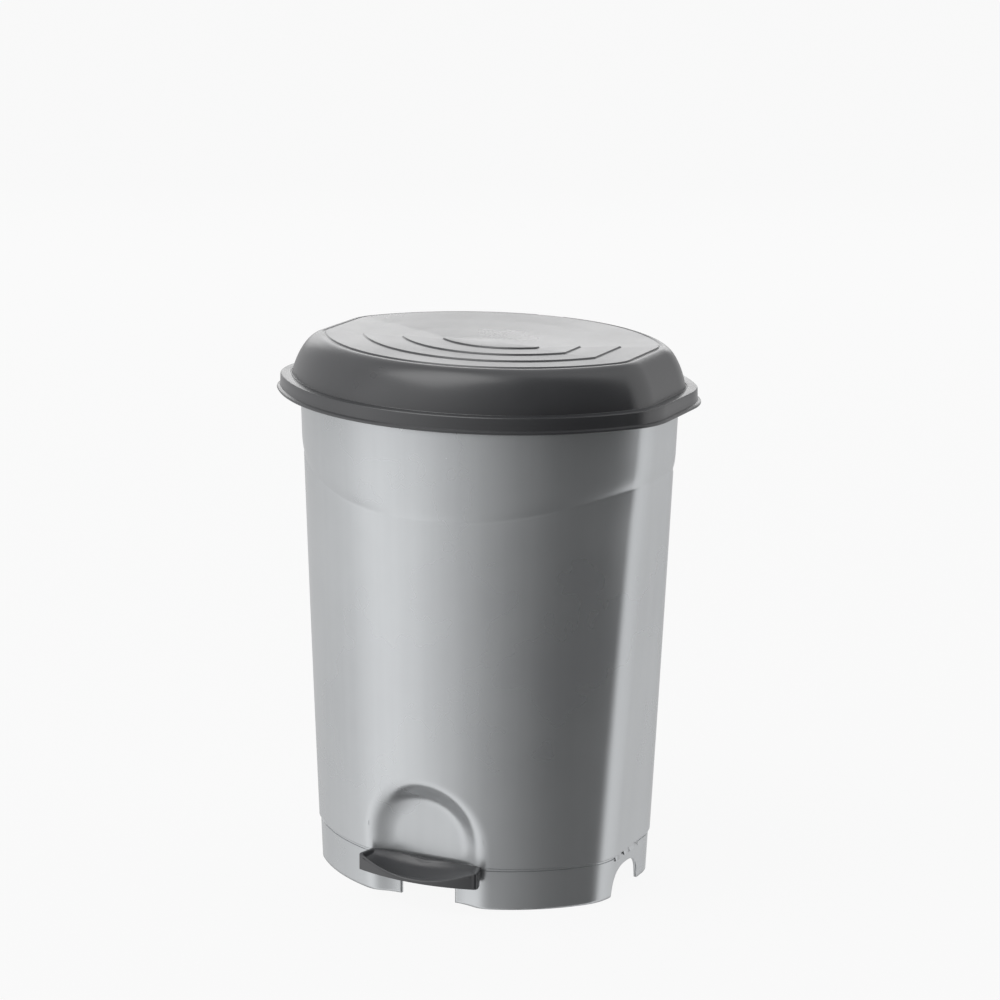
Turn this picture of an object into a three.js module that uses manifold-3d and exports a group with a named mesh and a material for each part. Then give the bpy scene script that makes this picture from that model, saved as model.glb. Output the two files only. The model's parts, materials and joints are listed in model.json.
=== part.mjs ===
// Pedal trash can: an oval outer shell with a lift-out inner bucket, a domed lid hinged at the back,
// and a foot pedal whose lever lifts a wire rod that turns the lid.
// Millimetres. +Z is up, the pedal faces -Y, and the origin is on the floor under the middle of the lid.
import * as THREE from 'three';
import { mergeVertices } from 'three/addons/utils/BufferGeometryUtils.js';
import Module from 'manifold-3d';

const wasm = await Module();
wasm.setup();

// ---------------------------------------------------------------- driving dimensions

const gap = 0.3;             // clearance between pieces that touch
const arcCentre = 46;        // the front and back curves are struck from this far past the middle

// Outer shell: an oval that widens from the floor to the rim.
const shell = {
  rimHeight: 403,
  baseHalfWidth: 134,
  baseHalfDepth: 113.5,
  topHalfWidth: 155,
  topHalfDepth: 125,
  corner: 45,
  wall: 2.5,
  seamHeight: 33.5,          // the plinth below this line stands back from the body
  plinthInset: 1.3,
  collarReach: 5,
  collarThickness: 2.5,
  bandDepth: 58,             // the raised band under the rim is this deep at the sides
  bandDip: 27,               // and this much deeper at the front and back
  bandRise: 1.1,
  bandGroove: 0.9,
  floorHeight: 58.5,
  floorThickness: 2.5,
};

// Cut-outs in the plinth at both sides.
const sideArch = { halfWidth: 25, height: 23, crownShare: 0.65, y: -7 };

// Toe recess in the front: a flat wall under a round arch, with a coved edge.
const recess = {
  depth: 12.5, halfWidth: 42.5, topHeight: 95, cove: 10.5, coveDepth: 10,
  slotHalfWidth: 23.5, slotHeight: 33,
};
const recessWallY = recess.depth - shell.baseHalfDepth;

// Inner bucket. Its rim rests on the shell's rim, and it leaves room behind for the push rod.
const bucket = {
  topClearance: 5,
  bottomClearance: 12.5,
  recessClearance: 3.5,
  rodRoomTop: 17,
  rodRoomBottom: 14,
  corner: 40,
  wall: 2,
  rimThickness: 2,
  rimLand: 4,                // height of the neck just under the rim
  rimFall: 0.25,             // toward its edge
  rimOverlap: 3,             // how far its rim reaches past the shell wall
  rimReach: 3,               // and past its own back wall
  rimCentre: 70,             // the rim's curves are struck from here, clear of the rod
  standoff: 0.6,             // air between its floor and the shell floor
};
const bucketFloor = shell.floorHeight + bucket.standoff;
const bucketTop = shell.rimHeight + gap;

// Lid: lip, skirt, flat ledge, domed shoulder, a shallow channel and a stepped panel.
// Insets are counted from the lip's outer edge.
const lidSize = {
  overhang: 14,              // past the shell's rim at the sides
  overhangDepth: 20,         // and at the front and back
  corner: 35,
  wall: 2.5,
  lipDrop: 7.5,              // below the shell's rim
  lipReach: 2.5,
  restGap: 0.5,              // over the bucket's rim
  skirtInset: 2.9,
  footInset: 12.3,
  domeHeight: 31,
  crestInset: 32.8,
  lean: 0.32,                // how far the shoulder leans in before it turns over
  channelDepth: 0.7,
  panelInset: 35.6,
  panelShift: 6,             // the stepped panel sits this far behind the middle of the lip
  steps: 3,
  innerHalfDepth: 18.4,      // of the middle step
  stepRise: 1.6,
  stepRun: 1.1,
  notchHalfWidth: 10.5,
};
const lidHalfWidth = shell.topHalfWidth + lidSize.overhang;
const lidHalfDepth = shell.topHalfDepth + lidSize.overhangDepth;
const lipHeight = shell.rimHeight - lidSize.lipDrop;
const ledgeHeight = bucketTop + bucket.rimThickness + lidSize.restGap + lidSize.wall;
const crestHeight = ledgeHeight + lidSize.domeHeight;
const channelHeight = crestHeight - lidSize.channelDepth;

// Lid hinge, at the back under the lip.
const hinge = {
  behindShell: 11, belowRim: 9, radius: 6, earX: 30, earWidth: 10, lugWidth: 5, lugFoot: 16, sideGap: 0.5,
  windowGap: 3, pinRadius: 2.5, headRadius: 4, headThickness: 1.5,
};
const hingeY = shell.topHalfDepth + hinge.behindShell;
const hingeZ = shell.rimHeight - hinge.belowRim;
const lugOffset = (hinge.earWidth + hinge.lugWidth) / 2 + hinge.sideGap;

// The lid's slotted crank, the push rod and its fittings.
const crank = {
  x: 15, thickness: 6, reach: 27, slotPlay: 0.9, rim: 2.6, neckInset: 20, opening: 70, liftShare: 0.957,
};
const rod = { radius: 2, x: 24, pinLength: 15, bend: 5 };
const clip = { radius: 4.5, thickness: 2 };
const guide = { halfWidth: 7, thickness: 8, lowHeight: 120, belowRim: 83, rim: 4, play: 0.5 };
const halfOpening = THREE.MathUtils.degToRad(crank.opening / 2);
const rodLift = 2 * crank.reach * Math.tan(halfOpening) * crank.liftShare;
const rodTopY = hingeY - crank.reach;
const rodTopZ = hingeZ - rodLift / 2;

// Pedal tread: a crescent with a dished top, hung in the recess.
const tread = {
  wallGap: 3.5, sideGap: 3.2, endDepth: 16.5, middleDepth: 25.5, backSlope: 3.2,
  topHeight: 36, bottomHeight: 20, frontDip: 11, middleDip: 3, plate: 2.6,
};
const treadHalfWidth = recess.halfWidth + recess.cove - tread.sideGap;
const treadBackY = recessWallY - tread.wallGap;
const treadEndY = treadBackY - tread.endDepth;
const treadFrontY = treadBackY - tread.middleDepth;

// Foot lever, its axle and the caps that carry it.
const lever = {
  halfWidth: 18, plate: 2, endLength: 7, endGap: 2.7, eyeDrop: 18, eyeSway: 1.6, frontArm: 78, noseGap: 9,
};
const axle = {
  z: 27, radius: 3, bossX: 25, bossWidth: 10, bossHalfDepth: 13, saddleDepth: 7, endLength: 9,
};
const screw = { radius: 1.6, headRadius: 3.2, headThickness: 2, length: 22, fromAxle: 8.5 };
const axleY = treadFrontY + lever.frontArm;
const eyeY = shell.baseHalfDepth - shell.plinthInset - shell.wall - lever.endLength - lever.endGap;
const eyeZ = axle.z - lever.eyeDrop;

// ---------------------------------------------------------------- materials

const looks = {
  silver: new THREE.MeshStandardMaterial({ color: 0xa9adb0, roughness: 0.35, metalness: 0.25 }),
  anthracite: new THREE.MeshStandardMaterial({ color: 0x3d3e41, roughness: 0.35, metalness: 0 }),
  bucketGrey: new THREE.MeshStandardMaterial({ color: 0x5a5c5f, roughness: 0.55, metalness: 0 }),
  steel: new THREE.MeshStandardMaterial({ color: 0x9b9ea1, roughness: 0.35, metalness: 1 }),
  natural: new THREE.MeshStandardMaterial({ color: 0xd8d6cf, roughness: 0.5, metalness: 0 }),
};

// ---------------------------------------------------------------- solids

// Makes a solid of a closed geometry, leaving out triangles that shrank to a line.
function solid(geometry) {
  geometry.deleteAttribute('normal');
  geometry.deleteAttribute('uv');
  const merged = mergeVertices(geometry, 1e-4);
  const corners = merged.index.array;
  const triangles = [];
  for (let i = 0; i < corners.length; i += 3) {
    const [a, b, c] = corners.slice(i, i + 3);
    if (a !== b && b !== c && c !== a) triangles.push(a, b, c);
  }
  return new wasm.Manifold(new wasm.Mesh({
    numProp: 3,
    vertProperties: merged.attributes.position.array,
    triVerts: Uint32Array.from(triangles),
  }));
}

const joined = (first, ...others) => others.reduce((sum, other) => sum.add(other), first);
const cut = (first, ...others) => others.reduce((rest, other) => rest.subtract(other), first);

function mesh(name, body, look) {
  const { vertProperties, triVerts } = body.getMesh();
  const geometry = new THREE.BufferGeometry();
  geometry.setAttribute('position', new THREE.BufferAttribute(vertProperties, 3));
  geometry.setIndex(new THREE.BufferAttribute(triVerts, 1));
  geometry.computeVertexNormals();
  const item = new THREE.Mesh(geometry, looks[look]);
  item.name = name;
  return item;
}

function box(x, y, z) {
  const geometry = new THREE.BoxGeometry(x[1] - x[0], y[1] - y[0], z[1] - z[0]);
  geometry.translate((x[0] + x[1]) / 2, (y[0] + y[1]) / 2, (z[0] + z[1]) / 2);
  return solid(geometry);
}

function barAlongX(radius, x, y, z, sides = 20) {
  const geometry = new THREE.CylinderGeometry(radius, radius, x[1] - x[0], sides);
  geometry.rotateZ(Math.PI / 2);
  geometry.translate((x[0] + x[1]) / 2, y, z);
  return solid(geometry);
}

function barAlongZ(radius, x, y, z, sides = 16) {
  const geometry = new THREE.CylinderGeometry(radius, radius, z[1] - z[0], sides);
  geometry.rotateX(Math.PI / 2);
  geometry.translate(x, y, (z[0] + z[1]) / 2);
  return solid(geometry);
}

const axisX = new THREE.Vector3(1, 0, 0);
const axisY = new THREE.Vector3(0, 1, 0);
const axisZ = new THREE.Vector3(0, 0, 1);
const sideways = new THREE.Matrix4().makeBasis(axisY, axisZ, axisX);
const forwards = new THREE.Matrix4().makeBasis(axisX, axisZ, axisY.clone().negate());

// Extrudes an outline drawn in Y and Z along X.
function plateAcross(shape, x, curveSegments = 8) {
  const geometry = new THREE.ExtrudeGeometry(shape, { depth: x[1] - x[0], bevelEnabled: false, curveSegments });
  geometry.applyMatrix4(sideways);
  geometry.translate(x[0], 0, 0);
  return solid(geometry);
}

const shapeOf = (points) => new THREE.Shape(points.map(([a, b]) => new THREE.Vector2(a, b)));

// ---------------------------------------------------------------- ovals

const cornerSteps = 5;
const curveSteps = 8;
const quarterSteps = 1 + cornerSteps + curveSteps;
const columns = 4 * quarterSteps;
const shoulderSteps = 7;

// A quarter of the oval plan, from the middle of the right side to the middle of the back:
// a straight side, a corner radius and a wide arc.
function quarterOutline({ halfWidth, halfDepth, corner, centre = arcCentre }) {
  const radius = halfDepth + centre;
  const reach = Math.sqrt((radius - corner) ** 2 - (halfWidth - corner) ** 2);
  const turn = Math.atan2(reach, halfWidth - corner);
  const points = [[halfWidth, 0]];
  for (let i = 0; i <= cornerSteps; i += 1) {
    const angle = (turn * i) / cornerSteps;
    points.push([halfWidth - corner + corner * Math.cos(angle), reach - centre + corner * Math.sin(angle)]);
  }
  for (let i = 1; i <= curveSteps; i += 1) {
    const angle = turn + ((Math.PI / 2 - turn) * i) / curveSteps;
    points.push([radius * Math.cos(angle), radius * Math.sin(angle) - centre]);
  }
  return points;
}

// One point of the whole plan, counted round from the right side by way of the back.
function ovalPoint(oval, column) {
  if (oval.halfWidth === 0) return [0, 0];
  const quarter = Math.floor((column % columns) / quarterSteps);
  const step = column % quarterSteps;
  const points = quarterOutline(oval);
  const [x, y] = points[quarter % 2 ? quarterSteps - step : step];
  return [quarter === 1 || quarter === 2 ? -x : x, quarter > 1 ? -y : y];
}

// Turns a closed profile round the oval plan. Each row has a height and an oval that may follow it;
// a row with a dip hangs lower toward the front and back.
function ovalTurned(rows) {
  const profile = rows.map((row, i) => new THREE.Vector2(row.oval(row.z).halfWidth, i));
  const geometry = new THREE.LatheGeometry(profile, columns);
  const { position } = geometry.attributes;
  for (let column = 0; column <= columns; column += 1) {
    rows.forEach((row, i) => {
      const [level] = ovalPoint(row.oval(row.z), column);
      const z = row.z - (row.dip ?? 0) * (1 - (level / row.oval(row.z).halfWidth || 0) ** 2);
      const [x, y] = ovalPoint(row.oval(z), column);
      position.setXYZ(column * rows.length + i, x, y + (row.y ?? 0), z);
    });
  }
  return solid(geometry);
}

const mix = (from, to, share) => from + (to - from) * share;
const middle = { oval: () => ({ halfWidth: 0 }) };

// The shell's plan at a height, drawn in by an inset.
const shellOval = (inset) => (z) => ({
  halfWidth: mix(shell.baseHalfWidth, shell.topHalfWidth, z / shell.rimHeight) - inset,
  halfDepth: mix(shell.baseHalfDepth, shell.topHalfDepth, z / shell.rimHeight) - inset,
  corner: shell.corner - inset,
});

const shellRow = (z, inset, dip = 0) => ({ z, oval: shellOval(inset), dip });

// ---------------------------------------------------------------- outer shell

// Everything inside the shell's outer face, between two heights and drawn in by an inset.
function shellCore(inset, from, to) {
  return ovalTurned([{ ...middle, z: from }, shellRow(from, inset), shellRow(to, inset), { ...middle, z: to }]);
}

function shellWall() {
  const { seamHeight: seam, plinthInset: inset, bandDip: dip, rimHeight: rim, wall } = shell;
  const band = rim - shell.bandDepth;
  const collar = rim - shell.collarThickness;
  const rows = [
    shellRow(0, inset),
    shellRow(seam, inset),
    shellRow(seam + 1, inset / 3),
    shellRow(seam + 3, 0),
    shellRow(band - 1, 0, dip),
    shellRow(band, shell.bandGroove, dip),
    shellRow(band + 4, -shell.bandRise / 3, dip),
    shellRow(band + 12, -shell.bandRise, dip),
    shellRow(collar, -shell.bandRise),
    shellRow(collar, -shell.collarReach),
    shellRow(rim, -shell.collarReach),
    shellRow(rim, wall),
    shellRow(seam + 3, wall),
    shellRow(seam - 2, wall + inset),
    shellRow(0, wall + inset),
    shellRow(0, inset),
  ];
  return ovalTurned(rows);
}

// The toe recess as a block: an arch that opens out with a coved edge toward the front.
function recessBlock(grow) {
  const half = recess.halfWidth + grow;
  const shape = new THREE.Shape();
  shape.moveTo(half, -recess.cove - grow - 2);
  shape.lineTo(half, recess.topHeight - recess.halfWidth);
  shape.absarc(0, recess.topHeight - recess.halfWidth, half, 0, Math.PI);
  shape.lineTo(-half, -recess.cove - grow - 2);
  const geometry = new THREE.ExtrudeGeometry(shape, {
    depth: 30,
    bevelSize: recess.cove,
    bevelThickness: recess.coveDepth,
    bevelSegments: 5,
    curveSegments: 12,
  });
  geometry.applyMatrix4(forwards);
  geometry.translate(0, recessWallY + grow - recess.coveDepth, 0);
  return solid(geometry);
}

// The arched opening in the plinth, through both sides.
function sideArches() {
  const shape = new THREE.Shape();
  const crown = sideArch.height * sideArch.crownShare;
  const spring = sideArch.height - crown;
  shape.moveTo(sideArch.y - sideArch.halfWidth, -1);
  shape.lineTo(sideArch.y - sideArch.halfWidth, 0);
  shape.absellipse(sideArch.y, spring, sideArch.halfWidth, crown, Math.PI, 0, true);
  shape.lineTo(sideArch.y + sideArch.halfWidth, -1);
  return plateAcross(shape, [-shell.topHalfWidth, shell.topHalfWidth], 12);
}

// One knuckle plate of the lid hinge on the back of the shell.
function hingeLug(x) {
  const rootY = shell.topHalfDepth - shell.wall - 4;
  const shape = shapeOf([
    [rootY, hingeZ - hinge.radius - hinge.lugFoot],
    [hingeY - hinge.radius * 0.2, hingeZ - hinge.radius],
    [hingeY, hingeZ + hinge.radius],
    [rootY, hingeZ + hinge.radius],
  ]);
  const across = [x - hinge.lugWidth / 2, x + hinge.lugWidth / 2];
  const plate = joined(plateAcross(shape, across), barAlongX(hinge.radius, across, hingeY, hingeZ, 24));
  return cut(plate, barAlongX(hinge.pinRadius + gap, [across[0] - 1, across[1] + 1], hingeY, hingeZ));
}

// A block under the shell floor that carries one end of the lever's axle.
function axleBoss(side) {
  const x = [side * axle.bossX - axle.bossWidth / 2, side * axle.bossX + axle.bossWidth / 2];
  const y = [axleY - axle.bossHalfDepth, axleY + axle.bossHalfDepth];
  const block = box(x, y, [axle.z, shell.floorHeight - 1]);
  const holes = [-1, 1].map((end) => barAlongZ(screw.radius + gap, side * axle.bossX, axleY + end * screw.fromAxle,
    [axle.z - 1, axle.z + screw.length - axle.saddleDepth + 1]));
  return cut(block, barAlongX(axle.radius + gap, [x[0] - 1, x[1] + 1], axleY, axle.z), ...holes);
}

function bodyShell() {
  const floor = shellCore(shell.wall / 2, shell.floorHeight - shell.floorThickness, shell.floorHeight);
  const lining = shellCore(shell.wall / 2 + shell.plinthInset, 0, shell.rimHeight);
  const recessLining = recessBlock(shell.wall).intersect(lining);
  const lugs = [-1, 1].flatMap((side) => [-1, 1].map((end) => hingeLug(side * hinge.earX + end * lugOffset)));
  const slotHeights = [shell.floorHeight - shell.floorThickness - 3, shell.floorHeight + 1];
  const rodSlot = box([-lever.halfWidth - 4, rod.x + 6], [eyeY - 14, shell.topHalfDepth], slotHeights)
    .intersect(shellCore(shell.wall + 1, 0, shell.rimHeight));
  const pedalSlot = box([-recess.slotHalfWidth, recess.slotHalfWidth],
    [recessWallY - 2, recessWallY + shell.wall + 3], [-1, recess.slotHeight]);
  const bucketRoom = shellCore(shell.wall * 0.7, shell.floorHeight + 1, shell.rimHeight + 1);
  const lugPlates = cut(joined(...lugs), bucketRoom);
  return cut(
    joined(shellWall(), floor, recessLining, lugPlates, axleBoss(-1), axleBoss(1)),
    recessBlock(0),
    sideArches(),
    rodSlot,
    pedalSlot,
  );
}

// ---------------------------------------------------------------- inner bucket

function bucketRow(z, inset) {
  const share = (z - bucketFloor) / (bucketTop - bucketFloor);
  const topInset = shell.wall + bucket.topClearance;
  const bottomHalfWidth = shellOval(shell.wall + bucket.bottomClearance)(bucketFloor).halfWidth;
  const front = mix(recessWallY + shell.wall + bucket.recessClearance, topInset - shell.topHalfDepth, share);
  const back = mix(eyeY - bucket.rodRoomBottom, rodTopY - bucket.rodRoomTop, share);
  const oval = () => ({
    halfWidth: mix(bottomHalfWidth, shell.topHalfWidth - topInset, share) - inset,
    halfDepth: (back - front) / 2 - inset,
    corner: bucket.corner - inset,
  });
  return { z, oval, y: (front + back) / 2 };
}

function bucketRimRow(z) {
  const front = -shell.topHalfDepth - bucket.rimOverlap;
  const back = rodTopY - bucket.rodRoomTop + bucket.rimReach;
  const oval = () => ({
    halfWidth: shell.topHalfWidth + bucket.rimOverlap,
    halfDepth: (back - front) / 2,
    corner: shell.corner,
    centre: bucket.rimCentre,
  });
  return { z, oval, y: (front + back) / 2 };
}

function innerBucket() {
  const rimTop = bucketTop + bucket.rimThickness;
  const floorMiddle = (z) => ({ ...middle, z, y: bucketRow(z, 0).y });
  return ovalTurned([
    floorMiddle(bucketFloor),
    bucketRow(bucketFloor, 6),
    bucketRow(bucketFloor + 1.5, 1.5),
    bucketRow(bucketFloor + 6, 0),
    bucketRow(bucketTop - bucket.rimLand, 0),
    bucketRow(bucketTop, 0),
    bucketRimRow(bucketTop),
    bucketRimRow(rimTop - bucket.rimFall),
    bucketRow(rimTop, bucket.wall),
    bucketRow(bucketFloor + 8, bucket.wall),
    bucketRow(bucketFloor + bucket.wall + 1, bucket.wall + 5),
    floorMiddle(bucketFloor + bucket.wall),
  ]);
}

// ---------------------------------------------------------------- lid

function lidRow(inset, z) {
  const { footInset, panelInset } = lidSize;
  const share = THREE.MathUtils.clamp((inset - footInset) / (panelInset - footInset), 0, 1);
  const oval = () => ({
    halfWidth: lidHalfWidth - inset,
    halfDepth: lidHalfDepth - inset,
    corner: Math.max(lidSize.corner - inset, 0.5),
  });
  return { z, oval, y: lidSize.panelShift * share };
}

// The panel's steps from its edge to the middle, as [inset, height] pairs.
function panelSteps(offset, drop) {
  const steps = [];
  const spacing = (lidHalfDepth - lidSize.innerHalfDepth - lidSize.panelInset) / lidSize.steps;
  for (let i = 0; i <= lidSize.steps; i += 1) {
    const inset = lidSize.panelInset + offset + i * spacing;
    const level = channelHeight - drop + i * lidSize.stepRise;
    steps.push([inset, level], [inset + lidSize.stepRun, level + lidSize.stepRise]);
  }
  return steps;
}

// The shoulder from its foot to the crest: it leans in, then turns over like a quarter ellipse.
function shoulder(wall) {
  const points = [];
  for (let i = 0; i <= shoulderSteps; i += 1) {
    const angle = (Math.PI / 2) * (i / shoulderSteps);
    const share = lidSize.lean * Math.sin(angle) + (1 - lidSize.lean) * (1 - Math.cos(angle));
    const inset = mix(lidSize.footInset + wall, lidSize.crestInset + wall / 2, share);
    points.push([inset, ledgeHeight - wall + lidSize.domeHeight * Math.sin(angle)]);
  }
  return points;
}

function lidShell() {
  const { wall, skirtInset, lipReach, footInset, crestInset } = lidSize;
  const outside = [
    [0, lipHeight], [0, lipHeight + 1.5], [lipReach, lipHeight + 3], [skirtInset, ledgeHeight - 1.2],
    [skirtInset + 0.8, ledgeHeight], [footInset - 1.7, ledgeHeight + 0.2], [footInset - 0.9, ledgeHeight - 0.5],
    ...shoulder(0), [crestInset + 1.6, channelHeight + 0.1], ...panelSteps(0, 0),
  ];
  const inside = [
    ...panelSteps(wall / 2, wall).reverse(), ...shoulder(wall).reverse(),
    [skirtInset + wall + 0.8, ledgeHeight - wall], [skirtInset + wall, ledgeHeight - wall - 1],
    [skirtInset + 2, lipHeight + 4], [lipReach, lipHeight + 2], [lipReach, lipHeight],
  ];
  const rows = [...inside, ...outside].map(([inset, z]) => lidRow(inset, z));
  const centre = (z) => ({ ...middle, z, y: lidSize.panelShift });
  return ovalTurned([centre(inside[0][1]), ...rows, centre(outside.at(-1)[1])]);
}

// The slotted plate under the lid that the rod pushes up. Its slot points at the hinge axis.
function lidCrank() {
  const across = [crank.x - crank.thickness / 2, crank.x + crank.thickness / 2];
  const along = (distance) => [
    hingeY - distance * Math.cos(halfOpening),
    hingeZ - distance * Math.sin(halfOpening),
  ];
  const [nearY, nearZ] = along(crank.reach);
  const [farY, farZ] = along(Math.hypot(crank.reach, rodLift / 2));
  const slotRadius = rod.radius + crank.slotPlay;
  const rim = slotRadius + crank.rim;
  const slotShape = (radius) => {
    const shape = new THREE.Shape();
    shape.absarc(nearY, nearZ, radius, halfOpening - Math.PI / 2, halfOpening + Math.PI / 2);
    shape.absarc(farY, farZ, radius, halfOpening + Math.PI / 2, halfOpening + Math.PI * 1.5);
    return shape;
  };
  const neckY = hingeY - crank.neckInset;
  const neckTop = channelHeight - lidSize.wall / 3;
  const frontY = farY - rim * 0.85;
  const neck = shapeOf([[frontY, farZ], [nearY, nearZ], [neckY, hingeZ], [neckY, neckTop], [frontY, neckTop]]);
  const plate = joined(plateAcross(slotShape(rim), across, 10), plateAcross(neck, across));
  return cut(plate, plateAcross(slotShape(slotRadius), [across[0] - 1, across[1] + 1], 10));
}

// The ear of the lid hinge, between two lugs of the shell.
function lidEar(side) {
  const across = [side * hinge.earX - hinge.earWidth / 2, side * hinge.earX + hinge.earWidth / 2];
  const neck = box(across, [hingeY - hinge.radius, hingeY + 1.2], [hingeZ, ledgeHeight - lidSize.wall + 1]);
  const ear = joined(neck, barAlongX(hinge.radius, across, hingeY, hingeZ, 24));
  return cut(ear, barAlongX(hinge.pinRadius + gap, [across[0] - 1, across[1] + 1], hingeY, hingeZ));
}

function lid() {
  // windows in the back skirt leave room for the hinge knuckles
  const windows = [-1, 1].map((side) => box(
    [side * hinge.earX - lugOffset - hinge.lugWidth, side * hinge.earX + lugOffset + hinge.lugWidth],
    [hingeY - hinge.radius - 2, lidHalfDepth + 1],
    [lipHeight - 1, hingeZ + hinge.radius + hinge.windowGap],
  ));
  const notch = box([-lidSize.notchHalfWidth, lidSize.notchHalfWidth],
    [lidHalfDepth - lidSize.panelInset + lidSize.panelShift, lidHalfDepth], [channelHeight, crestHeight + 1]);
  return joined(cut(lidShell(), ...windows, notch), lidCrank(), lidEar(-1), lidEar(1));
}

function hingePin(side) {
  const inner = side * (hinge.earX - lugOffset - hinge.lugWidth / 2 - 0.5);
  const outer = side * (hinge.earX + lugOffset + hinge.lugWidth / 2 + gap);
  const span = (a, b) => [Math.min(a, b), Math.max(a, b)];
  const head = barAlongX(hinge.headRadius, span(outer, outer + side * hinge.headThickness), hingeY, hingeZ);
  return joined(barAlongX(hinge.pinRadius, span(inner, outer + side), hingeY, hingeZ), head);
}

// ---------------------------------------------------------------- push rod

// A wire with both ends bent square toward the middle of the bin.
function pushRod() {
  const point = (x, y, z) => new THREE.Vector3(x, y, z);
  const low = point(rod.x, eyeY, eyeZ);
  const high = point(rod.x, rodTopY, rodTopZ);
  const { bend } = rod;
  const rise = high.clone().sub(low).normalize();
  const path = new THREE.CurvePath();
  const lowStart = low.clone().addScaledVector(rise, bend);
  const highEnd = high.clone().addScaledVector(rise, -bend);
  const corner = (from, at, to) => new THREE.QuadraticBezierCurve3(from, at, to);
  path.add(new THREE.LineCurve3(low.clone().setX(rod.x - rod.pinLength), low.clone().setX(rod.x - bend)));
  path.add(corner(low.clone().setX(rod.x - bend), low, lowStart));
  path.add(new THREE.LineCurve3(lowStart, highEnd));
  path.add(corner(highEnd, high, high.clone().setX(rod.x - bend)));
  path.add(new THREE.LineCurve3(high.clone().setX(rod.x - bend), high.clone().setX(rod.x - rod.pinLength)));
  const section = new THREE.Shape().absarc(0, 0, rod.radius, 0, 2 * Math.PI);
  return solid(new THREE.ExtrudeGeometry(section, { extrudePath: path, steps: 90, curveSegments: 5 }));
}

const upperClipX = crank.x - (crank.thickness + clip.thickness) / 2 - gap;
const lowerClipX = lever.halfWidth - lever.plate - clip.thickness / 2 - gap;

// A push-on washer that keeps a bent end of the rod in its hole.
function rodClip(x, y, z) {
  const across = [x - clip.thickness / 2, x + clip.thickness / 2];
  const hole = barAlongX(rod.radius + gap, [across[0] - 1, across[1] + 1], y, z);
  return cut(barAlongX(clip.radius, across, y, z), hole);
}

// An eye on the back wall that keeps the rod upright.
function rodGuide(z) {
  const share = (z - eyeZ) / (rodTopZ - eyeZ);
  const y = mix(eyeY, rodTopY, share);
  const across = [rod.x - guide.halfWidth, rod.x + guide.halfWidth];
  const height = [z - guide.thickness / 2, z + guide.thickness / 2];
  const block = box(across, [y - rod.radius - guide.rim, shell.topHalfDepth], height);
  const fitted = block.intersect(shellCore(shell.wall + gap, 0, shell.rimHeight));
  return cut(fitted, barAlongZ(rod.radius + guide.play, rod.x, y, [z - guide.thickness, z + guide.thickness]));
}

// ---------------------------------------------------------------- pedal

// A pressed channel from the tread to the rod, open below, with a hole for the axle and a slotted eye.
function pedalLever() {
  const noseY = treadFrontY + lever.noseGap;
  const wallY = recessWallY + 4;
  const topLine = [
    [noseY, tread.bottomHeight + 3.5],
    [wallY, tread.bottomHeight + 9],
    [axleY - 12, axle.z + 8],
    [axleY + 12, axle.z + 7],
    [eyeY + lever.endLength, eyeZ + 8],
  ];
  const underLine = [
    [eyeY + lever.endLength, eyeZ - 5.5],
    [axleY + 12, axle.z - 6],
    [axleY - 12, axle.z - 6],
    [wallY, tread.bottomHeight + 2],
    [noseY, tread.bottomHeight + 0.8],
  ];
  const side = shapeOf([...topLine, ...underLine]);
  const hollow = shapeOf([
    ...topLine.map(([y, z]) => [y, z - lever.plate]),
    ...underLine.map(([y, z]) => [y, z - 8]),
  ]);
  const half = lever.halfWidth;
  const inside = plateAcross(hollow, [-half + lever.plate, half - lever.plate]);
  const channel = cut(plateAcross(side, [-half, half]), inside);
  const eye = new THREE.Shape();
  eye.absarc(eyeY - lever.eyeSway * 0.75, eyeZ, rod.radius + 2 * gap, Math.PI / 2, Math.PI * 1.5);
  eye.absarc(eyeY + lever.eyeSway, eyeZ, rod.radius + 2 * gap, -Math.PI / 2, Math.PI / 2);
  const axleHole = barAlongX(axle.radius + gap, [-half - 1, half + 1], axleY, axle.z);
  return cut(channel, axleHole, plateAcross(eye, [0, half + 1], 6));
}

function leverAxle() {
  const axleHalf = axle.bossX + axle.bossWidth / 2 + axle.endLength;
  return barAlongX(axle.radius, [-axleHalf, axleHalf], axleY, axle.z, 24);
}

// The cap that holds the axle up against its block.
function axleSaddle(side) {
  const x = [side * axle.bossX - axle.bossWidth / 2, side * axle.bossX + axle.bossWidth / 2];
  const y = [axleY - axle.bossHalfDepth, axleY + axle.bossHalfDepth];
  const block = box(x, y, [axle.z - axle.saddleDepth, axle.z - gap]);
  const holes = [-1, 1].map((end) => barAlongZ(screw.radius + gap, side * axle.bossX, axleY + end * screw.fromAxle,
    [axle.z - axle.saddleDepth - 1, axle.z]));
  return cut(block, barAlongX(axle.radius + gap, [x[0] - 1, x[1] + 1], axleY, axle.z), ...holes);
}

function saddleScrew(side, end) {
  const x = side * axle.bossX;
  const y = axleY + end * screw.fromAxle;
  const under = axle.z - axle.saddleDepth - gap;
  const shank = barAlongZ(screw.radius, x, y, [under - 1, under + screw.length]);
  return joined(shank, barAlongZ(screw.headRadius, x, y, [under - screw.headThickness, under]));
}

function axleClip(side) {
  const x = side * (axle.bossX + axle.bossWidth / 2 + clip.thickness / 2 + gap);
  const across = [x - clip.thickness / 2, x + clip.thickness / 2];
  return cut(barAlongX(clip.radius + 1.5, across, axleY, axle.z),
    barAlongX(axle.radius + gap, [across[0] - 1, across[1] + 1], axleY, axle.z, 24));
}

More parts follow.
